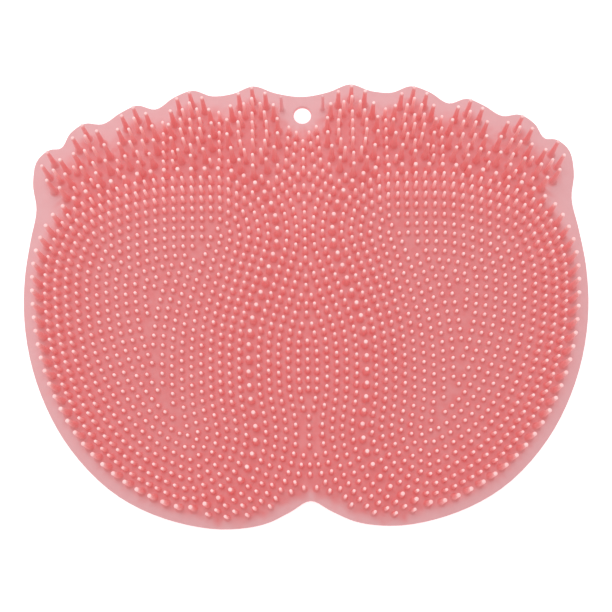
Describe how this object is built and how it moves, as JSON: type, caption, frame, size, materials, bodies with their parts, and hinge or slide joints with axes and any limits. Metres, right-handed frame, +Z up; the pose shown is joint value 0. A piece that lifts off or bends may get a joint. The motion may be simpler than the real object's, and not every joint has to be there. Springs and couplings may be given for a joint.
{
  "type": "shower foot scrubber",
  "caption": "Soft silicone bath mat with two foot-shaped beds of bristles, scalloped toe lobes, a hanging hole and suction cups underneath.",
  "frame": {"origin": "centre of the mat's footprint, on the ground under the suction cups", "axes": "+Z up out of the bristles, +Y towards the toes and the hanging hole, +X to the right foot's outer side"},
  "size_m": [0.3014, 0.244, 0.021],
  "materials": {
    "silicone": "soft satin, slightly translucent coral pink"
  },
  "bodies": {
    "root": {"scrubber_mat": "silicone"}
  },
  "joints": []
}
